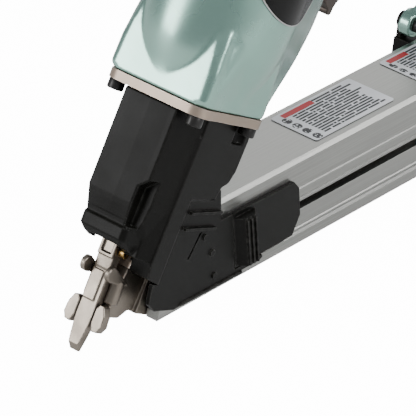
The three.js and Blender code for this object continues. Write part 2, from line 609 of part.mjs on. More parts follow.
// Front side plate of the magazine. `side` is -1 on the left.
function sideCover(side) {
  const nose = side < 0
    ? [[5.1, -103.5], [0.5, -103.7], [1.2, -107], [4, -116], [11.7, -119.3]]
    : [[5.1, -80], [12, -92], [17, -106], [20, -118.6]];
  const front = [[31.4, -41], [29.6, -48.1], [5.1, -50.6], ...nose].map(([x, z]) => toLevel(x, z));
  const foot = [[-23, -119], [20, -117.8], [58, -117.2], [60.2, -116.2], [60, -114.4]];
  const shape = outline([
    [MAG_FRONT - 1, -52], ...front, ...foot, [33.4, -114.4], [25.2, -73.3], [14.5, -73.3],
  ]);
  const [inner, outer] = [MAG_HALF + GAP, MAG_HALF + 3];
  const across = (a, b) => [Math.min(side * a, side * b), Math.max(side * a, side * b)];
  const skin = cheek(shape, ...across(inner, outer));
  const shelves = [0, 9].map((drop) => cheek(outline([
    [-18 - drop * 0.5, -56.5 - drop], [12 - drop * 0.5, -67 - drop],
    [12.5 - drop * 0.5, -65.4 - drop], [-17.5 - drop * 0.5, -54.9 - drop],
  ]), ...across(inner + 1, outer + 2.2)));
  const slotShape = outline([[-5.2, -73.8], [-3.4, -74.2], [-13.4, -88.8], [-15.2, -88.2]]);
  const slot = cheek(slotShape, ...across(outer - 1.2, outer + 3));
  const bosses = [[0, -79], [8.5, -92.6], [13.2, -110]].map(([x, z]) => (
    pin(2.2, x, z, ...across(outer - 1, outer + 1), 12)
  ));
  const lipShape = outline([[-18, -118.4], [40, -118.9], [40, -117.3], [-16, -116.8]]);
  const lip = cheek(lipShape, ...across(outer - 1, outer + 0.9));
  const lug = block(2, 9, ...across(MAG_HALF + GAP, outer), -100, -96);
  return cut(join(skin, shelves[0], shelves[1], ...bosses, lip, lug), slot);
}

// Nail feeder: pusher in the channel, arm through the slot, and a ribbed thumb plate outside.
function nailFeeder() {
  const lean = Math.tan(TILT);
  const pusher = cheek(outline([
    [56, -66], [86, -66], [86, -111.5], [56 - 45.5 * lean, -111.5],
  ]), -8, 8);
  const arm = block(64, 84, -24, -7, -98, -94.2);
  const plate = cheek(outline([
    [26, -75], [30, -73.7], [85.2, -74.6], [90.8, -80.5], [95.2, -100.2], [89.4, -113], [34.4, -113.8],
  ]), -MAG_HALF - 2.6, -MAG_HALF - GAP);
  const grip = hull([[-77, 0], [-112.5, 8.4]].flatMap(([z, slide]) => [
    V(26.6 + slide, -MAG_HALF - 2, z), V(48 + slide, -MAG_HALF - 2, z),
    V(31.5 + slide, -MAG_HALF - 8, z), V(41.5 + slide, -MAG_HALF - 8, z),
  ]));
  const ribs = [0, 3.8, 7.6].map((step) => hull([[-78, 0], [-111.5, 7.9]].flatMap(([z, slide]) => [
    V(31.7 + step + slide, -MAG_HALF - 7, z), V(34 + step + slide, -MAG_HALF - 7, z),
    V(32.2 + step + slide, -MAG_HALF - 9.4, z), V(33.5 + step + slide, -MAG_HALF - 9.4, z),
  ])));
  const fork = [-8, 5.4].map((y) => block(84, 104, y, y + 2.6, -92, -76));
  return cut(join(pusher, arm, plate, grip, ...ribs, ...fork), pin(2 + GAP, DRUM_X, DRUM_Z, -10, 10, 12));
}

const DRUM_X = 98;
const DRUM_Z = -84;
const springDrum = () => cut(
  pin(10.5, DRUM_X, DRUM_Z, -4.8, 4.8, 28), pin(2 + GAP, DRUM_X, DRUM_Z, -6, 6, 12),
);
const drumPin = () => pin(2, DRUM_X, DRUM_Z, -9, 9, 12);

function magazineEndCap() {
  const plate = roundedBox(49.6, MAG_TOP + 2 - FLOOR, 5, 0, (MAG_TOP + 2 + FLOOR) / 2);
  const back = bar(plate, MAG_REAR + GAP, MAG_REAR + 9);
  const foot = block(MAG_REAR - 20, MAG_REAR + 9, -20, 20, FLOOR, MAG_BOTTOM - 0.5);
  const loadingGate = block(MAG_REAR - 2, MAG_REAR + 12, -9.5, 9.5, -118, -64);
  const holes = endScrewPlaces.map(([y, z]) => rod(2 + GAP, V(MAG_REAR, y, z), V(MAG_REAR + 12, y, z), 8));
  return cut(join(back, foot), loadingGate, ...holes);
}

function endScrew(y, z) {
  const x = MAG_REAR + 9.2;
  return join(rod(3.6, V(x, y, z), V(x + 2.4, y, z), 12), rod(2, V(x - 17, y, z), V(x + 0.2, y, z), 8));
}

// Black bracket on the magazine's right side that takes the handle's boss.
function magazineBracket() {
  const side = [MAG_HALF + 0.4, 35];
  const baseShape = outline([[261, -88], [262, -61], [280, -61], [281.4, -64], [281.4, -92], [263, -92]]);
  const base = cheek(baseShape, ...side);
  const neck = block(BOSS_X - 4, BOSS_X + 4, 31.4, 35, -62, BOSS_Z);
  const eye = pin(5.5, BOSS_X, BOSS_Z, 31.4, 35, 20);
  return cut(join(base, neck, eye), pin(BOLT_R + GAP, BOSS_X, BOSS_Z, 20, 40, 12));
}

function bossScrew() {
  const screw = join(pin(HEAD_R, BOSS_X, BOSS_Z, 17.6, 22.6, 20), pin(BOLT_R, BOSS_X, BOSS_Z, 22.4, 35, 12));
  return cut(screw, pin(2.6, BOSS_X, BOSS_Z, 16, 20.4, 6));
}

function label(x0, x1, y0, y1) {
  const sheet = roundedBox(x1 - x0, y1 - y0, 2, (x0 + x1) / 2, (y0 + y1) / 2);
  return platform(sheet, MAG_TOP + 0.3, MAG_TOP + 0.7);
}

// ---- assembly ----
piece(drive, "body_housing", bodyHousing(), ENAMEL);
piece(drive, "head_cap", headCap(), ENAMEL);
piece(drive, "handle_end_cap", handleEndCap(), ENAMEL);
piece(drive, "badge", badge(), BLACK_PLASTIC);
piece(drive, "exhaust_deflector", exhaustDeflector(), BLACK_PLASTIC);
piece(drive, "deflector_screw", deflectorScrew(), BLACK_OXIDE);
piece(drive, "head_valve", headValve(), BLACK_PLASTIC);
piece(drive, "head_valve_spring", coil(0, 0, 20, 1.1, 132.5, 148.6, 4), BRIGHT_STEEL);
piece(drive, "cylinder_sleeve", cylinderSleeve(), BRIGHT_STEEL);
piece(drive, "piston", piston(), ALUMINIUM);
piece(drive, "piston_ring", pistonRing(), RUBBER);
piece(drive, "driver_blade", driverBlade(), BRIGHT_STEEL);
piece(drive, "piston_bumper", pistonBumper(), RUBBER);
piece(drive, "nose_flange", noseFlange(), FLANGE_STEEL);
piece(drive, "driver_guide", driverGuide(), NOSE_STEEL);
piece(drive, "nose_cover", noseCover(), BLACK_PLASTIC);
piece(drive, "push_lever", pushLever(), NOSE_STEEL);
piece(drive, "push_lever_spring", coil(-15, 0, 3.6, 0.7, -30.8, -1.2, 6), BRIGHT_STEEL);
piece(drive, "lever_bush", brassBush(), BRASS);
corners.forEach(([x, y], i) => {
  piece(drive, "flange_screw_" + (i + 1), capScrew(x, y, -0.2, 22, -1), BLACK_OXIDE);
  piece(drive, "head_screw_" + (i + 1), capScrew(x, y, 160.2, 26, 1), BLACK_OXIDE);
});
piece(drive, "trigger", trigger(), BLACK_OXIDE);
piece(drive, "trigger_pin", triggerPin(), BRIGHT_STEEL);
piece(drive, "valve_bushing", valveBushing(), BRASS);
piece(drive, "trigger_plunger", plunger(), BRIGHT_STEEL);
piece(drive, "handle_grip", handleGrip(), RUBBER);
piece(drive, "air_plug", airPlug(), BRIGHT_STEEL);
capScrewPlaces.forEach(([y, z], i) => {
  piece(drive, "end_cap_screw_" + (i + 1), capSideScrew(y, z), BLACK_OXIDE);
});

piece(level, "magazine_body", magazineBody(), ALUMINIUM);
piece(level, "nail_rail", nailRail(), BRIGHT_STEEL);
piece(level, "side_cover_left", sideCover(-1), BLACK_PLASTIC);
piece(level, "side_cover_right", sideCover(1), BLACK_PLASTIC);
piece(level, "nail_feeder", nailFeeder(), BLACK_PLASTIC);
piece(level, "feeder_spring_drum", springDrum(), BRIGHT_STEEL);
piece(level, "drum_pin", drumPin(), BRIGHT_STEEL);
piece(level, "magazine_end_cap", magazineEndCap(), BLACK_PLASTIC);
endScrewPlaces.forEach(([y, z], i) => piece(level, "magazine_screw_" + (i + 1), endScrew(y, z), BLACK_OXIDE));
piece(level, "magazine_bracket", magazineBracket(), BLACK_PLASTIC);
piece(level, "boss_screw", bossScrew(), BLACK_OXIDE);
piece(level, "label_front", label(113.5, 192.5, -17.6, 18.2), LABEL);
piece(level, "label_rear", label(223.4, 274.5, -17.6, 18.2), LABEL);

// The origin is the middle of the whole tool's footprint, on the surface that it stands on.
tool.updateMatrixWorld(true);
const extent = new THREE.Box3().setFromObject(tool, true);
const centre = extent.getCenter(V(0, 0, 0));
tool.position.set(-centre.x, -centre.y, -extent.min.z);
const part = new THREE.Group();
part.name = "strip_nailer";
part.add(tool);

export default part;
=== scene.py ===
import json
import math

import bmesh
import bpy
from mathutils import Matrix, Vector


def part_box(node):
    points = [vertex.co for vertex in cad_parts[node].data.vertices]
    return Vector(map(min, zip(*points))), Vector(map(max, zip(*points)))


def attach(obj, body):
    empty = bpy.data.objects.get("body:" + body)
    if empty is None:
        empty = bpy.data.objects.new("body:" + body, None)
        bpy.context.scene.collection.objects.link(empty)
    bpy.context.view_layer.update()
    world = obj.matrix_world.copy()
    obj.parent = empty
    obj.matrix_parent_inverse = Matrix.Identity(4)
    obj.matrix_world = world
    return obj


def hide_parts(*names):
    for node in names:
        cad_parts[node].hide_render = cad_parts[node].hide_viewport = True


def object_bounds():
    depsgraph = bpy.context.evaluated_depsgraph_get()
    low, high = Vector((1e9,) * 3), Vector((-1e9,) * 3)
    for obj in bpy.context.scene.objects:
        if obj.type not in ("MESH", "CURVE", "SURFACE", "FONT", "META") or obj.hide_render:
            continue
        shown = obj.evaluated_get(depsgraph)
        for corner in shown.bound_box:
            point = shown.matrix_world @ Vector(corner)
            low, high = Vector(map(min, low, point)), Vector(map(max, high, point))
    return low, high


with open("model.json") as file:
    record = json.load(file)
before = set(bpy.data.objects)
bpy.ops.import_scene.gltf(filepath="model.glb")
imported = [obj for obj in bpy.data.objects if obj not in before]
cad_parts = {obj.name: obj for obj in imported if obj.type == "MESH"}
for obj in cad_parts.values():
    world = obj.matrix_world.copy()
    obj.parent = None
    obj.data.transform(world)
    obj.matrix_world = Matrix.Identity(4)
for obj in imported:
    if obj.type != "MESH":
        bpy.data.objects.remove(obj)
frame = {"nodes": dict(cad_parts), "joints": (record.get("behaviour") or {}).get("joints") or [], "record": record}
cad_low, cad_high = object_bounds()

# ---- camera, lights and floor ----
# The tool stands on a pale studio floor and is seen from its front left, from above, with a long lens.
# Large soft boxes stand in front, on the left, behind and above it.
scene = bpy.context.scene

camera = bpy.data.objects.new("camera", bpy.data.cameras.new("camera"))
scene.collection.objects.link(camera)
right, up, back = (0.6248, -0.7750, 0.0950), (0.3334, 0.3749, 0.8650), (-0.7060, -0.5088, 0.4926)
turn = Matrix([Vector(v).normalized() for v in (right, up, back)]).transposed().to_4x4()
camera.matrix_world = Matrix.Translation((-1.8246, -1.2551, 1.2644)) @ turn
camera.data.sensor_width = 36
camera.data.lens = 360.6
camera.data.shift_x = -0.0117
camera.data.shift_y = 0.0003
camera.data.clip_end = 50
scene.camera = camera


def soft_box(name, place, size, power):
    """A rectangular lamp that faces the tool."""
    data = bpy.data.lights.new(name, "AREA")
    data.shape = "RECTANGLE"
    data.size, data.size_y = size
    data.energy = power
    lamp = bpy.data.objects.new(name, data)
    scene.collection.objects.link(lamp)
    lamp.location = place
    lamp.rotation_euler = (Vector(place) - Vector((-0.05, 0, 0.12))).to_track_quat("Z", "Y").to_euler()


soft_box("front_box", (-1.75, 1.1, 0.6), (0.8, 0.9), 22)
soft_box("left_box", (-0.1, -1.9, 1.0), (0.9, 0.6), 26)
soft_box("top_box", (-0.9, -0.3, 2.0), (1.0, 1.0), 34)
soft_box("right_box", (1.5, -1.0, 1.15), (0.5, 0.5), 8)
soft_box("rear_box", (1.7, 1.2, 1.25), (1.3, 1.0), 7)

world = bpy.data.worlds.new("studio")
scene.world = world
world.use_nodes = True
world.node_tree.nodes["Background"].inputs["Color"].default_value = (0.93, 0.96, 1.0, 1)
world.node_tree.nodes["Background"].inputs["Strength"].default_value = 0.34


def add(tree, kind, inputs=None, **settings):
    """A shader node with its settings, its values and its links in one call."""
    node = tree.nodes.new("ShaderNode" + kind)
    for name, value in settings.items():
        setattr(node, name, value)
    for name, value in (inputs or {}).items():
        if isinstance(value, bpy.types.NodeSocket):
            tree.links.new(value, node.inputs[name])
        else:
            node.inputs[name].default_value = value
    return node


def new_material(name):
    """An empty material: its node tree and the Principled shader that it ends in."""
    material = bpy.data.materials.new(name)
    material.use_nodes = True
    return material, material.node_tree, material.node_tree.nodes["Principled BSDF"]


floor_material, tree, shader = new_material("studio_floor")
speckle = add(tree, "TexNoise", {"Scale": 40.0})
ramp = add(tree, "MapRange", {"Value": speckle.outputs[0], "To Min": 0.56, "To Max": 0.6})
tone = add(tree, "CombineColor", {i: ramp.outputs[0] for i in range(3)})
tree.links.new(tone.outputs[0], shader.inputs["Base Color"])
shader.inputs["Roughness"].default_value = 0.7
shader.inputs["Emission Color"].default_value = (1, 1, 1, 1)
rays = add(tree, "LightPath")
glow = add(tree, "MapRange", {"Value": rays.outputs["Is Camera Ray"], "To Min": 0.22, "To Max": 14.0})
tree.links.new(glow.outputs[0], shader.inputs["Emission Strength"])

bm = bmesh.new()
bmesh.ops.create_grid(bm, x_segments=8, y_segments=8, size=6)
floor_mesh = bpy.data.meshes.new("floor")
bm.to_mesh(floor_mesh)
floor = bpy.data.objects.new("floor", floor_mesh)
floor.location = (0, 0, cad_low.z - 0.0004)
floor_mesh.materials.append(floor_material)
scene.collection.objects.link(floor)

# ---- body housing ----
# A magnesium casting: the round cylinder housing, the web behind it and the handle in one piece, with a
# square foot for the nose flange. It is painted in a silver-green metallic enamel.
# Its own frame is the driver's: z up the driver's axis, x to the rear and -y to the left, in millimetres.
lever_slide = next(j for j in frame["joints"] if j["name"] == "push_lever_slide")
LEAN = math.atan2(lever_slide["axis"][0], lever_slide["axis"][2])
LABEL_START, LABEL_SEAT = 113.5, -59.9
label_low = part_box("label_front")[0]
piston_low, piston_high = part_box("piston")
middle = (piston_low.y + piston_high.y) / 2
LEVEL = (
    Matrix.Translation((label_low.x - LABEL_START / 1000, middle, label_low.z - LABEL_SEAT / 1000))
    @ Matrix.Scale(0.001, 4)
)
DRIVE = LEVEL @ Matrix.Rotation(LEAN, 4, "Y")

behaviour = frame["record"]["behaviour"]
body_of = {node: body for body, nodes in behaviour["bodies"].items() for node in nodes}


def add_loft(bm, rings, tube=False):
    """A closed skin through rings of points: capped, or a tube whose last ring meets its first."""
    layers = [[bm.verts.new(p) for p in ring] for ring in rings]
    count = len(rings[0])
    for low, high in zip(layers, layers[1:] + (layers[:1] if tube else [])):
        for i in range(count):
            j = (i + 1) % count
            bm.faces.new((low[i], low[j], high[j], high[i]))
    for layer in () if tube else (layers[0], layers[-1]):
        centre = bm.verts.new(sum((v.co for v in layer), Vector()) / count)
        for i in range(count):
            bm.faces.new((layer[i], layer[(i + 1) % count], centre))


def add_hull(bm, points):
    verts = [bm.verts.new(p) for p in points]
    result = bmesh.ops.convex_hull(bm, input=verts)
    inside = result["geom_interior"] + result["geom_unused"]
    spare = {item for item in inside if isinstance(item, bmesh.types.BMVert)}
    bmesh.ops.delete(bm, geom=list(spare), context="VERTS")


def add_slab(bm, points, low, high):
    """A flat outline in x and y, raised from low to high."""
    add_loft(bm, [[Vector((x, y, z)) for x, y in points] for z in (low, high)])


def add_turned(bm, profile, sides, centre=(0, 0)):
    """A lathe shape: radius and height pairs, turned about z."""
    x, y = centre
    turns = [2 * math.pi * i / sides for i in range(sides)]
    add_loft(bm, [
        [Vector((x + radius * math.cos(a), y + radius * math.sin(a), height)) for a in turns]
        for radius, height in profile
    ])


def shaped(name, bm, place):
    """Puts the shape in its place and turns its faces outwards."""
    bmesh.ops.recalc_face_normals(bm, faces=bm.faces)
    mesh = bpy.data.meshes.new(name)
    bm.to_mesh(mesh)
    bm.free()
    mesh.transform(place)
    piece = bpy.data.objects.new(name, mesh)
    scene.collection.objects.link(piece)
    return piece


def settle(piece):
    """Makes the modifiers' result the piece's own mesh."""
    bpy.context.view_layer.update()
    result = piece.evaluated_get(bpy.context.evaluated_depsgraph_get())
    mesh = bpy.data.meshes.new_from_object(result)
    piece.modifiers.clear()
    piece.data = mesh


def cast(piece, grain, passes):
    """Melts the parts of a piece into one skin with soft corners, as a casting or a moulding has."""
    skin = piece.modifiers.new("skin", "REMESH")
    skin.mode = "VOXEL"
    skin.voxel_size = grain / 1000
    soften = piece.modifiers.new("soften", "SMOOTH")
    soften.factor = 0.5
    soften.iterations = passes
    settle(piece)
    piece.data.shade_smooth()
    return piece


def carve(piece, *cutters):
    """Cuts the cutters' shapes out of a piece."""
    for cutter in cutters:
        cut = piece.modifiers.new("cut", "BOOLEAN")
        cut.operation = "DIFFERENCE"
        cut.solver = "EXACT"
        cut.object = cutter
    settle(piece)
    for cutter in cutters:
        bpy.data.objects.remove(cutter)
    piece.data.shade_smooth()


def dress(piece, material, node, *more_nodes):
    """The piece stands for its CAD nodes, rides on their body and takes its material."""
    piece.data.materials.clear()
    piece.data.materials.append(material)
    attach(piece, body_of[node])
    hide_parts(node, *more_nodes)


BARREL_R, BARREL_TOP = 45, 150
WEB_REAR, WEB_HALF, WEB_EDGE = 83, 15.5, 6
HANDLE_Z, HANDLE_END = 122, 262
HANDLE_HALF = (16.5, 21.5)
FLANGE_HALF, FLANGE_EAR, FLANGE_THICK = 36, 10, 5.5
BOLT_OUT = 29
CORNERS = [(x, y) for x in (-BOLT_OUT, BOLT_OUT) for y in (-BOLT_OUT, BOLT_OUT)]


def arc(x, y, radius, start, end, steps):
    turns = [start + (end - start) * i / steps for i in range(steps + 1)]
    return [(x + radius * math.cos(a), y + radius * math.sin(a)) for a in turns]


def tangent_turn(radius, rear, half):
    """The turn around the barrel at which the web's flat side leaves it."""
    cx, cy = rear - WEB_EDGE, half - WEB_EDGE
    return math.atan2(cy, cx) + math.acos((radius - WEB_EDGE) / math.hypot(cx, cy))


def barrel_ring(z, radius, rear, half):
    """A round barrel with a web that narrows to its rear edge."""
    cx, cy = rear - WEB_EDGE, half - WEB_EDGE
    touch = tangent_turn(radius, rear, half)
    points = arc(cx, cy, WEB_EDGE, 0, touch, 8)
    points += arc(0, 0, radius, touch, 2 * math.pi - touch, 72)
    points += arc(cx, -cy, WEB_EDGE, 2 * math.pi - touch, 2 * math.pi, 8)
    return [Vector((x, y, z)) for x, y in points]


def handle_ring(x, middle_z, half_width, half_height, grow=0.0, count=48):
    ring = []
    for i in range(count):
        a = 2 * math.pi * i / count
        c, s = math.cos(a), math.sin(a)
        y = (half_width + grow) * math.copysign(abs(c) ** 0.8, c)
        z = (half_height + grow) * math.copysign(abs(s) ** 0.8, s)
        ring.append(Vector((x, y, middle_z + z)))
    return ring


def stations(keys, step):
    """Values between the key stations, eased so that no kink shows where two stations meet."""
    total = keys[-1][0] - keys[0][0]
    count = max(2, round(total / step))

    def linear(at):
        at = min(max(at, keys[0][0]), keys[-1][0])
        for low, high in zip(keys, keys[1:]):
            if at <= high[0]:
                share = (at - low[0]) / (high[0] - low[0])
                return [a + (b - a) * share for a, b in zip(low[1:], high[1:])]

    found = []
    for i in range(count + 1):
        at = keys[0][0] + total * i / count
        reach = min(7, at - keys[0][0], keys[-1][0] - at)
        samples = [linear(at + reach * k / 4) for k in range(-4, 5)]
        found.append([at] + [sum(v) / len(v) for v in zip(*samples)])
    return found


def flange_outline():
    """Square with round ears for the bolts, and a slight waist on both sides."""
    ear, half = FLANGE_EAR, FLANGE_HALF
    out, waist = half - ear, half - 1.8

    def bow(start, control, end):
        found = []
        for t in (i / 10 for i in range(1, 10)):
            found.append(tuple(
                (1 - t) ** 2 * a + 2 * t * (1 - t) * b + t * t * c for a, b, c in zip(start, control, end)
            ))
        return found

    points = arc(-out, -out, ear, math.pi, math.pi * 1.5, 10)
    points += bow((-out, -half), (-14, -waist), (0, -half)) + bow((0, -half), (14, -waist), (out, -half))
    points += arc(out, -out, ear, -math.pi / 2, 0, 10) + arc(out, out, ear, 0, math.pi / 2, 10)
    points += bow((out, half), (14, waist), (0, half)) + bow((0, half), (-14, waist), (-out, half))
    return points + arc(-out, out, ear, math.pi / 2, math.pi, 10)


BODY_FOOT = 5.8
bm = bmesh.new()
barrel = [
    (BODY_FOOT, 35.8, 36, 33), (16, 35.8, 38, 33), (24, 38.8, 49, 29), (31, 41.4, 58, 25),
    (39, 43.2, 67, 22), (50, 44.5, 76, 18),
    (62, BARREL_R, WEB_REAR, WEB_HALF), (130, BARREL_R, WEB_REAR, WEB_HALF), (143, BARREL_R, 66, 19),
    (BARREL_TOP, BARREL_R, 52, 26),
]
add_loft(bm, [barrel_ring(*station) for station in stations(barrel, 3)])
add_slab(bm, flange_outline(), BODY_FOOT, 15)
add_slab(bm, flange_outline(), BARREL_TOP - 7, BARREL_TOP)
add_hull(bm, [
    Vector(p) for y in (-31, 31)
    for p in (
        (-36, y, 8), (-36, y, 34), (-35.6, y * 0.94, 44), (-34.6, y * 0.88, 58), (0, y, 8), (0, y, 56),
    )
])
sides = [Vector((x, y, 15)) for x in (-29, 29) for y in (-35.9, 35.9)]
for share in (0.3, 1.3):
    curve = arc(0, 0, 43.8, math.pi * share, math.pi * (share + 0.4), 12)
    sides += [Vector((x, y, 58)) for x, y in curve]
add_hull(bm, sides)


def pillar(x, y, *levels):
    points = []
    for inward, radius, z in levels:
        points += [Vector((px, py, z)) for px, py in arc(x * inward, y * inward, radius, 0, 6.1, 28)]
    return points


for x, y in CORNERS:
    if x < 0:
        add_hull(bm, pillar(x, y, (1.065, 5.2, 8), (1.055, 5.2, 26), (1.0, 5, 46), (0.93, 5, 62)))
    top = BARREL_TOP - 4
    add_hull(bm, pillar(x, y, (0.97, 8, top), (0.955, 8, top - 7), (0.93, 5.5, top - 15)))
handle = [
    (40, 114, 20, 36), (84, 117, 18, 30), (104, 120, 17, 24.5), (134, HANDLE_Z, *HANDLE_HALF),
    (236, HANDLE_Z, *HANDLE_HALF), (HANDLE_END, HANDLE_Z, 19, 24),
]
add_loft(bm, [handle_ring(*station) for station in stations(handle, 4)])
body = cast(shaped("body_casting", bm, DRIVE), 1.15, 9)

bm = bmesh.new()
bore = [
    (25, -1), (25, 11.7), (31.3, 11.7), (31.3, 26), (33.5, 28), (33.5, 50), (39, 60), (39, 104),
    (31.3, 106), (31.3, 112), (37, 112), (37, 152),
]
add_turned(bm, bore, 72)
bore_cutter = shaped("bore", bm, DRIVE)
bm = bmesh.new()
chamber = [(20, 126, 10.5, 11), (120, 126, 10.5, 11), (140, 124, 11.5, 14), (HANDLE_END + 1, 124, 11.5, 14)]
add_loft(bm, [handle_ring(*station) for station in chamber])
chamber_cutter = shaped("chamber", bm, DRIVE)
bm = bmesh.new()
add_slab(bm, [(86, -4.6), (134, -4.6), (134, 4.6), (86, 4.6)], 84, 109)
slot_cutter = shaped("slot", bm, DRIVE)
bm = bmesh.new()
add_turned(bm, [(9.2, 90), (9.2, 99.2), (7.3, 99.2), (7.3, 120)], 40, centre=(126, 0))
valve_cutter = shaped("valve_way", bm, DRIVE)
carve(body, bore_cutter, chamber_cutter, slot_cutter, valve_cutter)


def value_group(name, inputs, outputs):
    """An empty shader group with named number inputs and outputs."""
    group = bpy.data.node_groups.new(name, "ShaderNodeTree")
    for label, default in inputs.items():
        socket = group.interface.new_socket(label, in_out="INPUT", socket_type="NodeSocketFloat")
        socket.default_value = default
    for label in outputs:
        group.interface.new_socket(label, in_out="OUTPUT", socket_type="NodeSocketFloat")
    return group, group.nodes.new("NodeGroupInput").outputs, group.nodes.new("NodeGroupOutput").inputs


def use(tree, group, **values):
    node = tree.nodes.new("ShaderNodeGroup")
    node.node_tree = group
    for label, value in values.items():
        node.inputs[label.replace("_", " ")].default_value = value
    return node.outputs


# Lighter edges, partly wear and partly painted highlight: where the rounded normal leaves the true one there is an
# edge, and noise breaks it up.
edge_wear_and_highlight, given, result = value_group(
    "edge_wear_and_highlight", {"Width": 0.0007, "Amount": 1.0, "Patches": 300.0}, ["Mask"]
)
rounded = add(edge_wear_and_highlight, "Bevel", {"Radius": given["Width"]}, samples=4)
true_normal = add(edge_wear_and_highlight, "NewGeometry")
facing = add(
    edge_wear_and_highlight, "VectorMath", {0: rounded.outputs[0], 1: true_normal.outputs["Normal"]},
    operation="DOT_PRODUCT",
)
turned_away = add(
    edge_wear_and_highlight, "MapRange", {"Value": facing.outputs["Value"], "From Min": 0.995, "From Max": 0.86}
)
where = add(edge_wear_and_highlight, "TexCoord")
patches = add(
    edge_wear_and_highlight, "TexNoise", {"Vector": where.outputs["Object"], "Scale": given["Patches"], "Detail": 3.0}
)
broken = add(edge_wear_and_highlight, "MapRange", {"Value": patches.outputs[0], "From Min": 0.36, "From Max": 0.62})
both = add(edge_wear_and_highlight, "Math", {0: turned_away.outputs[0], 1: broken.outputs[0]}, operation="MULTIPLY")
amount = add(
    edge_wear_and_highlight, "Math", {0: both.outputs[0], 1: given["Amount"]}, operation="MULTIPLY", use_clamp=True
)
edge_wear_and_highlight.links.new(amount.outputs[0], result["Mask"])

# Grain: fine noise for the height of a surface, and wide soft noise for its tone.
grain, given, result = value_group("grain", {"Fine": 900.0, "Wide": 18.0}, ["Height", "Tone"])
where = add(grain, "TexCoord")
fine = add(grain, "TexNoise", {"Vector": where.outputs["Object"], "Scale": given["Fine"], "Detail": 2.0})
wide = add(grain, "TexNoise", {"Vector": where.outputs["Object"], "Scale": given["Wide"], "Detail": 4.0})
grain.links.new(fine.outputs[0], result["Height"])
grain.links.new(wide.outputs[0], result["Tone"])


def mix_colours(tree, factor, first, second):
    """A colour mix; first and second are linear colours or sockets."""
    mix = add(tree, "Mix", data_type="RGBA")
    for socket, value in (("Factor", factor), ("A", first), ("B", second)):
        kinds = ("VALUE",) if socket == "Factor" else ("RGBA",)
        target = next(i for i in mix.inputs if i.name == socket and i.type in kinds)
        if isinstance(value, bpy.types.NodeSocket):
            tree.links.new(value, target)
        else:
            target.default_value = value if socket == "Factor" else (*value, 1)
    return next(o for o in mix.outputs if o.type == "RGBA")


def finish(
    name, colour, shade, roughness, metallic=0.0, bump=0.02, fine=900.0, wide=18.0, wear_and_highlight_tint=None, width=0.0007,
    wear_and_highlight=1.0, coat=0.0, spread=0.08, specular=0.5,
):
    """A finish with a tone that drifts between two colours, grain, drifting gloss and lighter edges: wear, and on
    the black nylon a painted edge highlight.
    """
    material, tree, shader = new_material(name)
    surface = use(tree, grain, Fine=fine, Wide=wide)
    tint = add(tree, "MapRange", {"Value": surface["Tone"], "From Min": 0.35, "From Max": 0.65})
    paint = mix_colours(tree, tint.outputs[0], colour, shade)
    if wear_and_highlight_tint:
        mask = use(tree, edge_wear_and_highlight, Width=width, Amount=wear_and_highlight)["Mask"]
        paint = mix_colours(tree, mask, paint, wear_and_highlight_tint)
    tree.links.new(paint, shader.inputs["Base Color"])
    gloss = add(tree, "MapRange", {
        "Value": surface["Tone"], "From Min": 0.3, "From Max": 0.7,
        "To Min": roughness - spread / 2, "To Max": roughness + spread / 2,
    })
    tree.links.new(gloss.outputs[0], shader.inputs["Roughness"])
    relief = add(tree, "Bump", {"Height": surface["Height"], "Strength": bump, "Distance": 0.0003})
    tree.links.new(relief.outputs[0], shader.inputs["Normal"])
    shader.inputs["Metallic"].default_value = metallic
    shader.inputs["Specular IOR Level"].default_value = specular
    shader.inputs["Coat Weight"].default_value = coat
    shader.inputs["Coat Roughness"].default_value = 0.12
    return material


enamel = finish(
    "green_silver_enamel", (0.29, 0.47, 0.405), (0.255, 0.43, 0.365), 0.27, metallic=0.88, bump=0.05,
    fine=2600.0, wear_and_highlight_tint=(0.62, 0.66, 0.64), width=0.0006, wear_and_highlight=0.5, coat=0.35,
)
dress(body, enamel, "body_housing")

# ---- inner pieces ----
# Sleeve, piston with its ring and driver, bumper, head valve, springs, rail and drum: turned, moulded and
# coiled pieces that sit in the body and in the magazine. Their CAD shapes are kept.
turned_steel = finish(
    "turned_steel", (0.55, 0.55, 0.54), (0.48, 0.48, 0.47), 0.28, metallic=1.0, bump=0.05,
    wear_and_highlight_tint=(0.7, 0.7, 0.7),
)
turned_aluminium = finish(
    "turned_aluminium", (0.6, 0.61, 0.61), (0.54, 0.55, 0.55), 0.34, metallic=1.0, bump=0.05,
)
rubber = finish("moulded_rubber", (0.022, 0.022, 0.021), (0.03, 0.03, 0.029), 0.78, bump=0.25, fine=1500.0)
# The black nylon's lighter edges are painted highlights: they stand for the light that the moulded edges catch.
black_nylon = finish(
    "black_nylon", (0.0018, 0.0018, 0.0013), (0.0032, 0.0031, 0.0024), 0.38, bump=0.12, fine=1400.0,
    wide=30.0, wear_and_highlight_tint=(0.05, 0.049, 0.045), width=0.0012, wear_and_highlight=0.8, spread=0.12, specular=0.12,
)
brass = finish("turned_brass", (0.40, 0.255, 0.09), (0.31, 0.19, 0.065), 0.36, metallic=1.0)


def keep(material, *nodes):
    for node in nodes:
        for holder in frame["nodes"][node].material_slots:
            holder.material = material


keep(turned_aluminium, "cylinder_sleeve", "piston")
keep(
    turned_steel, "driver_blade", "head_valve_spring", "push_lever_spring", "nail_rail",
    "feeder_spring_drum", "drum_pin", "trigger_plunger",
)
keep(rubber, "piston_ring", "piston_bumper")
keep(black_nylon, "head_valve")
keep(brass, "valve_bushing")


# ---- head cap, deflector and their screws ----
# The cap is cast in the body's alloy and painted with it. The deflector on top of it turns to send the
# exhaust away from the hand, and one screw holds it.
def from_node(name, node):
    """A copy of a CAD node's shape, welded and with its flat faces whole, ready to be finished."""
    bm = bmesh.new()
    bm.from_mesh(frame["nodes"][node].data)
    bmesh.ops.remove_doubles(bm, verts=bm.verts, dist=2e-6)
    bmesh.ops.dissolve_limit(bm, angle_limit=math.radians(0.6), verts=bm.verts, edges=bm.edges)
    return shaped(name, bm, Matrix.Identity(4))


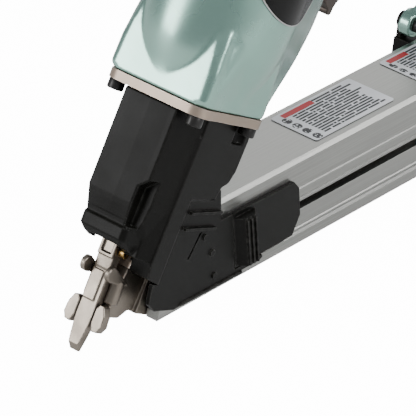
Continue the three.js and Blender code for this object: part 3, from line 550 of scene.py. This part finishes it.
def machined(name, node, radius, segments=3):
    """A piece with its machined or moulded edges broken by a small radius, in millimetres."""
    piece = from_node(name, node)
    edges = piece.modifiers.new("edges", "BEVEL")
    edges.width = radius / 1000
    edges.segments = segments
    edges.limit_method = "ANGLE"
    edges.angle_limit = math.radians(26)
    edges.harden_normals = True
    piece.data.shade_smooth()
    piece.modifiers.new("normals", "WEIGHTED_NORMAL")
    settle(piece)
    return piece


dress(cast(from_node("cap_casting", "head_cap"), 0.9, 6), enamel, "head_cap")

dark_plate = finish(
    "dark_plate", (0.075, 0.06, 0.052), (0.055, 0.045, 0.04), 0.36, metallic=0.85, bump=0.06,
    wear_and_highlight_tint=(0.3, 0.27, 0.24),
)
dress(cast(from_node("deflector_cup", "exhaust_deflector"), 0.7, 4), dark_plate, "exhaust_deflector")

black_oxide = finish(
    "black_oxide", (0.02, 0.019, 0.018), (0.014, 0.0135, 0.013), 0.36, metallic=0.5, bump=0.05,
    wear_and_highlight_tint=(0.08, 0.077, 0.074), width=0.0004,
)


def hexagon(turn):
    """How far out the side of a hexagon is at a turn around it, against its corners."""
    return math.cos(math.pi / 6) / math.cos((turn % (math.pi / 3)) - math.pi / 6)


def screw_in(place, name, node, foot, direction, head, shank, key):
    """A socket-head screw in the millimetre frame that place stands for. foot is where its head sits.

    head and shank are a radius and a length each, and key is the radius of the hexagon socket.
    """
    head_r, head_h = head
    shank_r, shank_l = shank
    sides = 48

    def ring(radius, height, six=False):
        points = []
        for i in range(sides):
            a = 2 * math.pi * i / sides
            reach = radius * (hexagon(a) if six else 1)
            points.append(Vector((reach * math.cos(a), reach * math.sin(a), height)))
        return points

    bm = bmesh.new()
    add_loft(bm, [
        ring(shank_r * 0.7, -shank_l), ring(shank_r, -shank_l + 0.9), ring(shank_r, 0), ring(head_r, 0),
        ring(head_r, head_h * 0.86), ring(head_r * 0.97, head_h * 0.95), ring(head_r * 0.88, head_h),
        ring(key * 1.12, head_h), ring(key, head_h - 0.3, True), ring(key, head_h * 0.45, True),
        ring(key * 0.2, head_h * 0.36),
    ])
    turn = Vector((0, 0, 1)).rotation_difference(Vector(direction)).to_matrix().to_4x4()
    piece = shaped(name, bm, Matrix.Translation(foot) @ turn)
    bevel = piece.modifiers.new("edges", "BEVEL")
    bevel.width = 0.12
    bevel.segments = 2
    bevel.angle_limit = math.radians(40)
    settle(piece)
    piece.data.shade_smooth()
    piece.data.transform(place)
    dress(piece, black_oxide, node)


for i, (x, y) in enumerate(CORNERS, start=1):
    screw_in(DRIVE, f"cap_bolt_{i}", f"head_screw_{i}", (x, y, 160.2), (0, 0, 1), (5, 6), (3, 28), 2.9)
screw_in(DRIVE, "deflector_bolt", "deflector_screw", (0, 0, 178.6), (0, 0, 1), (4.6, 3.4), (2.5, 16), 2.2)

# ---- nose flange and its bolts ----
# A ground steel plate bolts the nose to the body with four M6 screws from below. Under it a column carries
# the top of the driver's channel.
flange_steel = finish(
    "ground_steel", (0.38, 0.305, 0.245), (0.32, 0.26, 0.21), 0.42, metallic=0.9, bump=0.12, fine=700.0,
    wear_and_highlight_tint=(0.78, 0.72, 0.66), width=0.0005,
)
bm = bmesh.new()
add_slab(bm, flange_outline(), 0, FLANGE_THICK)
flange = shaped("flange_plate", bm, DRIVE)
bm = bmesh.new()
add_turned(bm, [(24.6, 5), (24.6, 7.7)], 64)
spigot = shaped("spigot", bm, DRIVE)
bm = bmesh.new()
add_slab(bm, [(-8.5, -11.5), (20, -11.5), (20, 11.5), (-8.5, 11.5)], -99.7, 1)
column = shaped("column", bm, DRIVE)
for extra in (spigot, column):
    weld = flange.modifiers.new("weld", "BOOLEAN")
    weld.operation = "UNION"
    weld.object = extra
settle(flange)
bpy.data.objects.remove(spigot)
bpy.data.objects.remove(column)
cutters = []
for x, y in CORNERS:
    bm = bmesh.new()
    add_turned(bm, [(3.3, -1), (3.3, 7)], 32, centre=(x, y))
    cutters.append(shaped("bolt_way", bm, DRIVE))
for outline, low, high in (
    ([(-3.6, -3.8), (3.6, -3.8), (3.6, 3.8), (-3.6, 3.8)], -110, 10),
    ([(3, -3.8), (30, -3.8), (30, 3.8), (3, 3.8)], -110, -66),
):
    bm = bmesh.new()
    add_slab(bm, outline, low, high)
    cutters.append(shaped("driver_way", bm, DRIVE))
carve(flange, *cutters)
broken_edge = flange.modifiers.new("edges", "BEVEL")
broken_edge.width = 0.0005
broken_edge.segments = 3
broken_edge.angle_limit = math.radians(40)
broken_edge.harden_normals = True
settle(flange)
dress(flange, flange_steel, "nose_flange")
for i, (x, y) in enumerate(CORNERS, start=1):
    screw_in(DRIVE, f"flange_bolt_{i}", f"flange_screw_{i}", (x, y, -0.2), (0, 0, -1), (5, 6), (3, 24), 2.9)

# ---- nose: driver guide, push lever and bush ----
# Investment-cast steel pieces, nickel plated. The guide holds the end of the driver's channel between two
# claws. The push lever is the long pointed blade that finds the hole in the connector plate.
nose_steel = finish(
    "nickelled_casting", (0.25, 0.217, 0.18), (0.195, 0.168, 0.14), 0.33, metallic=0.95, bump=0.22,
    fine=1100.0, wide=60.0, wear_and_highlight_tint=(0.72, 0.66, 0.6), width=0.0006,
)
dress(cast(from_node("nose_guide", "driver_guide"), 0.42, 4), nose_steel, "driver_guide")
dress(cast(from_node("probe_lever", "push_lever"), 0.36, 4), nose_steel, "push_lever")
dress(machined("lever_collar", "lever_bush", 0.25), brass, "lever_bush")

# ---- nose cover ----
# One moulding of glass-filled nylon over the push lever and its spring, with a bumper band at its lower
# front and pockets for the flange bolts. Its front is folded a little along the middle.
BAND_TOP, FOLD_RISE = -76, 12
FOLD_DEPTH, FOLD_HALF = 0.7, 15
cover = cast(from_node("nose_moulding", "nose_cover"), 0.55, 5)
to_drive = DRIVE.inverted()
front = min((to_drive @ v.co).x for v in cover.data.vertices if -60 < (to_drive @ v.co).z < -20)
for vert in cover.data.vertices:
    place = to_drive @ vert.co
    above_band = min(1, max(0, (place.z - BAND_TOP) / FOLD_RISE))
    if place.x < front + 1.6 and place.z < 0:
        place.x -= FOLD_DEPTH * above_band * max(0, 1 - abs(place.y) / FOLD_HALF)
        vert.co = DRIVE @ place
dress(cover, black_nylon, "nose_cover")

# ---- trigger ----
# A cast and plated lever on a cross pin. It lifts the valve plunger in its brass bushing.
dress(cast(from_node("trigger_lever", "trigger"), 0.35, 6), dark_plate, "trigger")
dress(machined("trigger_pivot", "trigger_pin", 0.3), turned_steel, "trigger_pin")

# ---- handle: grip, end cap and air plug ----
# A moulded rubber sleeve on the handle, and an enamelled cap that closes the air chamber. Its arm carries
# the rear of the magazine, and the plug for the air hose screws into its middle.
GRIP_FROM, GRIP_TO = 140, 234
GROOVE_PITCH, GROOVE_DEPTH, LIP_DEPTH = 6.4, 0.45, 1.6
bm = bmesh.new()
rings = []
for x, *size in stations([(GRIP_FROM, HANDLE_Z, *HANDLE_HALF), (GRIP_TO, HANDLE_Z, *HANDLE_HALF)], 0.8):
    share = (x - GRIP_FROM) / (GRIP_TO - GRIP_FROM)
    swell = 2.25 + 0.9 * math.sin(math.pi * share)
    wave = max(0, math.cos(2 * math.pi * x / GROOVE_PITCH)) ** 3
    groove = GROOVE_DEPTH * wave if 0.08 < share < 0.92 else 0
    edge = min(share, 1 - share) * (GRIP_TO - GRIP_FROM)
    lip = LIP_DEPTH * max(0, 1 - edge / 2) ** 2
    rings.append(handle_ring(x, *size, swell - groove - lip, 64))
add_loft(bm, rings)
grip = shaped("grip_sleeve", bm, DRIVE)
bm = bmesh.new()
add_loft(bm, [handle_ring(x, HANDLE_Z, *HANDLE_HALF, 0.35, 64) for x in (GRIP_FROM - 2, GRIP_TO + 2)])
carve(grip, shaped("handle_way", bm, DRIVE))
dress(grip, rubber, "handle_grip")
dress(cast(from_node("end_cap_casting", "handle_end_cap"), 0.7, 5), enamel, "handle_end_cap")

bm = bmesh.new()
plug = [
    (4, 0.2), (6.3, 0.2), (6.3, 13.3), (8.6, 13.3), (9, 13.7), (9, 18.6), (8.6, 19), (6.2, 19.8), (6, 20.2),
    (6, 24), (4.7, 26), (4.6, 26.4), (4.6, 29.6), (4.8, 30.2), (6, 32), (6, 38), (5.6, 39.2), (5, 40),
    (3.7, 40), (3.4, 39.6), (3.4, 0.2),
]
axis = Matrix.Translation((HANDLE_END, 0, HANDLE_Z)) @ Matrix.Rotation(math.pi / 2, 4, "Y")
rings = []
for radius, height in plug:
    is_nut = 13 < height < 19.5
    ring = []
    for a in (2 * math.pi * i / 60 for i in range(60)):
        reach = radius * (min(1, hexagon(a) * 1.04) if is_nut else 1)
        ring.append(axis @ Vector((reach * math.cos(a), reach * math.sin(a), height)))
    rings.append(ring)
add_loft(bm, rings, tube=True)
air_plug = shaped("plug_fitting", bm, DRIVE)
air_plug.data.shade_smooth()
air_plug.data.set_sharp_from_angle(angle=math.radians(35))
dress(air_plug, turned_steel, "air_plug")
for i, (y, z) in enumerate(((-14.2, 108), (14.2, 108), (0, 142.4)), start=1):
    screw_in(
        DRIVE, f"end_cap_bolt_{i}", f"end_cap_screw_{i}", (HANDLE_END + 10.2, y, z), (1, 0, 0), (3.6, 3.6),
        (2, 20), 1.9,
    )

# ---- magazine ----
# An aluminium extrusion, brushed along its length and clear anodised. A steel rail in it carries the nails,
# and a moulded cap closes its rear end.
brushed, given, result = value_group("brushed", {"Along": 14.0, "Across": 1500.0}, ["Streak"])
where = add(brushed, "TexCoord")
split = add(brushed, "SeparateXYZ", {"Vector": where.outputs["Object"]})
long_way = add(brushed, "Math", {0: split.outputs[0], 1: given["Along"]}, operation="MULTIPLY")
side_way = add(brushed, "Math", {0: split.outputs[1], 1: given["Across"]}, operation="MULTIPLY")
up_way = add(brushed, "Math", {0: split.outputs[2], 1: given["Across"]}, operation="MULTIPLY")
stretched = add(
    brushed, "CombineXYZ", {0: long_way.outputs[0], 1: side_way.outputs[0], 2: up_way.outputs[0]}
)
streaks = add(brushed, "TexNoise", {"Vector": stretched.outputs[0], "Scale": 1.0, "Detail": 3.0})
brushed.links.new(streaks.outputs[0], result["Streak"])

extrusion_finish, tree, shader = new_material("brushed_aluminium")
streak = use(tree, brushed)["Streak"]
tone = use(tree, grain, Wide=9.0)["Tone"]
wear_and_highlight = use(tree, edge_wear_and_highlight, Width=0.0005, Amount=0.8)["Mask"]
light = add(tree, "MapRange", {"Value": streak, "From Min": 0.3, "From Max": 0.7})
metal = mix_colours(tree, light.outputs[0], (0.27, 0.27, 0.256), (0.39, 0.39, 0.37))
drift = add(tree, "MapRange", {"Value": tone, "From Min": 0.3, "From Max": 0.7, "To Max": 0.25})
metal = mix_colours(tree, drift.outputs[0], metal, (0.26, 0.27, 0.26))
metal = mix_colours(tree, wear_and_highlight, metal, (0.66, 0.66, 0.65))
tree.links.new(metal, shader.inputs["Base Color"])
gloss = add(tree, "MapRange", {
    "Value": streak, "From Min": 0.3, "From Max": 0.7, "To Min": 0.3, "To Max": 0.42,
})
tree.links.new(gloss.outputs[0], shader.inputs["Roughness"])
relief = add(tree, "Bump", {"Height": streak, "Strength": 0.12, "Distance": 0.0002})
tree.links.new(relief.outputs[0], shader.inputs["Normal"])
shader.inputs["Metallic"].default_value = 1.0
dress(machined("magazine_extrusion", "magazine_body", 0.35), extrusion_finish, "magazine_body")
dress(machined("rear_closure", "magazine_end_cap", 1.2), black_nylon, "magazine_end_cap")
for i, (y, z) in enumerate(((-18.4, -70), (18.4, -70), (-17.2, -121.8), (17.2, -121.8)), start=1):
    screw_in(
        LEVEL, f"closure_bolt_{i}", f"magazine_screw_{i}", (291.2, y, z), (1, 0, 0), (3.6, 2.4),
        (2, 17), 1.9,
    )

# ---- side covers and nail feeder ----
# Mouldings of the same black nylon at the magazine's front. The feeder slides along the slot: its finger
# grip is pulled back to load, and its spring drum draws it forward again.
for side in ("left", "right"):
    dress(machined(f"{side}_side_moulding", f"side_cover_{side}", 0.5), black_nylon, f"side_cover_{side}")
dress(machined("feeder_slide_moulding", "nail_feeder", 0.6), black_nylon, "nail_feeder")

# ---- magazine bracket ----
# A moulded bracket ties the end cap's arm to the magazine with one screw through a round boss.
dress(machined("bracket_moulding", "magazine_bracket", 0.6), black_nylon, "magazine_bracket")
keep(black_oxide, "boss_screw")

# ---- labels ----
# Printed film labels on top of the magazine: rows of small dark dashes, a red bar and round marks, none of
# which is lettering.
printed, given, result = value_group(
    "printed_rows",
    {"Start": 0.0, "Side": 0.0, "Length": 0.08, "Breadth": 0.036, "Rows": 13.0, "Picture Share": 0.14},
    ["Ink", "Red"],
)


def number(operation, first, second=0.0):
    """One sum in the print's node group."""
    return add(printed, "Math", {0: first, 1: second}, operation=operation).outputs[0]


where = add(printed, "TexCoord")
split = add(printed, "SeparateXYZ", {"Vector": where.outputs["Object"]})
from_start = number("SUBTRACT", split.outputs[0], given["Start"])
from_side = number("SUBTRACT", given["Side"], split.outputs[1])
along = number("DIVIDE", from_start, given["Length"])
across = number("DIVIDE", from_side, given["Breadth"])
inside = number("MULTIPLY", number("SUBTRACT", across, 0.06), 1.0 / 0.88)
row_at = number("MULTIPLY", inside, given["Rows"])
row = number("FLOOR", row_at)
in_row = number("FRACT", row_at)
row_ink = number("LESS_THAN", in_row, 0.64)
word_at = number("MULTIPLY", along, 26.0)
place = add(printed, "CombineXYZ", {0: word_at, 1: row})
words = add(printed, "TexNoise", {"Vector": place.outputs[0], "Scale": 1.0, "Detail": 1.0})
words_ink = number("LESS_THAN", words.outputs[0], 0.6)
starts = number("GREATER_THAN", along, given["Picture Share"])
ragged = add(printed, "TexWhiteNoise", {"W": row}, noise_dimensions="1D")
line_end = number("SUBTRACT", 0.95, number("MULTIPLY", ragged.outputs["Value"], 0.12))
ends = number("LESS_THAN", along, line_end)
high = number("GREATER_THAN", inside, 0.0)
low = number("LESS_THAN", inside, 1.0)
ink = row_ink
for mask in (words_ink, starts, ends, high, low):
    ink = number("MULTIPLY", ink, mask)
bar = number("MULTIPLY", number("GREATER_THAN", along, 0.09), number("LESS_THAN", along, 0.47))
bar = number("MULTIPLY", bar, number("GREATER_THAN", across, 0.045))
bar = number("MULTIPLY", bar, number("LESS_THAN", across, 0.165))
ink = number("MULTIPLY", ink, number("SUBTRACT", 1.0, bar))
picture_at = number("MULTIPLY", number("SUBTRACT", across, 0.14), 4.6)
picture_v = number("SUBTRACT", number("FRACT", picture_at), 0.5)
picture_u = number("MULTIPLY", number("SUBTRACT", along, 0.07), 10.0)
square_u = number("MULTIPLY", picture_u, picture_u)
square_v = number("MULTIPLY", picture_v, picture_v)
reach = number("SQRT", number("ADD", square_u, square_v))
blot = add(printed, "TexNoise", {"Vector": where.outputs["Object"], "Scale": 520.0, "Detail": 2.0})
blotted = number("GREATER_THAN", blot.outputs[0], 0.42)
picture = number("MULTIPLY", number("LESS_THAN", reach, 0.42), blotted)
picture = number("MULTIPLY", picture, number("GREATER_THAN", picture_at, 0.0))
picture = number("MULTIPLY", picture, number("LESS_THAN", picture_at, 4.0))
ink = number("MAXIMUM", ink, picture)
printed.links.new(ink, result["Ink"])
printed.links.new(bar, result["Red"])


def label(name, node, picture_share):
    low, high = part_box(node)
    material, tree, shader = new_material(name + "_film")
    print_of = use(
        tree, printed, Start=low.x, Side=high.y, Length=high.x - low.x, Breadth=high.y - low.y, Rows=13.0,
        Picture_Share=picture_share,
    )
    surface = use(tree, grain, Fine=1200.0, Wide=40.0)
    tint = add(tree, "MapRange", {"Value": surface["Tone"], "From Min": 0.3, "From Max": 0.7})
    film = mix_colours(tree, tint.outputs[0], (0.7, 0.71, 0.74), (0.62, 0.63, 0.66))
    film = mix_colours(tree, print_of["Ink"], film, (0.012, 0.012, 0.014))
    film = mix_colours(tree, print_of["Red"], film, (0.42, 0.012, 0.018))
    tree.links.new(film, shader.inputs["Base Color"])
    gloss = add(tree, "MapRange", {"Value": surface["Tone"], "To Min": 0.4, "To Max": 0.55})
    tree.links.new(gloss.outputs[0], shader.inputs["Roughness"])
    relief = add(tree, "Bump", {"Height": surface["Height"], "Strength": 0.04, "Distance": 0.0001})
    tree.links.new(relief.outputs[0], shader.inputs["Normal"])
    dress(machined(name, node, 0.12, 2), material, node)


label("front_notice", "label_front", 0.16)
label("rear_notice", "label_rear", 0.18)

# ---- badge ----
# A domed plastic disc bonded to the left of the barrel: gloss black with a thin raised silver ring. It
# follows the barrel's curve.
BADGE_X, BADGE_Z = 2, 103.5


def barrel_side(x):
    """Half width of the barrel and its web at a place along x."""
    touch = tangent_turn(BARREL_R, WEB_REAR, WEB_HALF)
    tangent_x, tangent_y = BARREL_R * math.cos(touch), BARREL_R * math.sin(touch)
    if x < tangent_x:
        return math.sqrt(BARREL_R ** 2 - x ** 2)
    return tangent_y - (x - tangent_x) / math.tan(touch)


def on_barrel(radius, turn, rise):
    """A place on the badge: its radius and turn about the badge's middle, and its rise off the barrel."""
    x = BADGE_X + radius * math.cos(turn)
    return Vector((x, -(barrel_side(x) + rise), BADGE_Z + radius * math.sin(turn)))


bm = bmesh.new()
under = [(r, 0.3) for r in (0.5, 6, 12, 18, 24, 30, 35, 38.4)]
over = [(38.9, 0.5), (38.8, 0.8), (38.3, 1.0), (37.6, 1.02), (35, 0.9), (30, 0.9), (24, 0.92)]
over += [(18, 0.95), (12, 0.97), (6, 1.0), (0.5, 1.0)]
add_loft(bm, [
    [on_barrel(radius, 2 * math.pi * i / 96, rise) for i in range(96)] for radius, rise in under + over
])
badge_black = finish(
    "gloss_black", (0.002, 0.002, 0.002), (0.003, 0.003, 0.003), 0.22, bump=0.02, wear_and_highlight_tint=(0.02, 0.02, 0.02),
    specular=0.2,
)
badge = shaped("badge_disc", bm, DRIVE)
badge.data.shade_smooth()
dress(badge, badge_black, "badge")

bm = bmesh.new()
profile = [(38.0, 0.6), (38.0, 1.05), (38.2, 1.15), (38.6, 1.15), (38.8, 1.05), (38.8, 0.6)]
add_loft(bm, [
    [on_barrel(radius, 2 * math.pi * i / 120, rise) for i in range(120)] for radius, rise in profile
], tube=True)
ring = shaped("badge_ring", bm, DRIVE)
ring.data.shade_smooth()
ring.data.materials.append(turned_steel)
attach(ring, body_of["badge"])
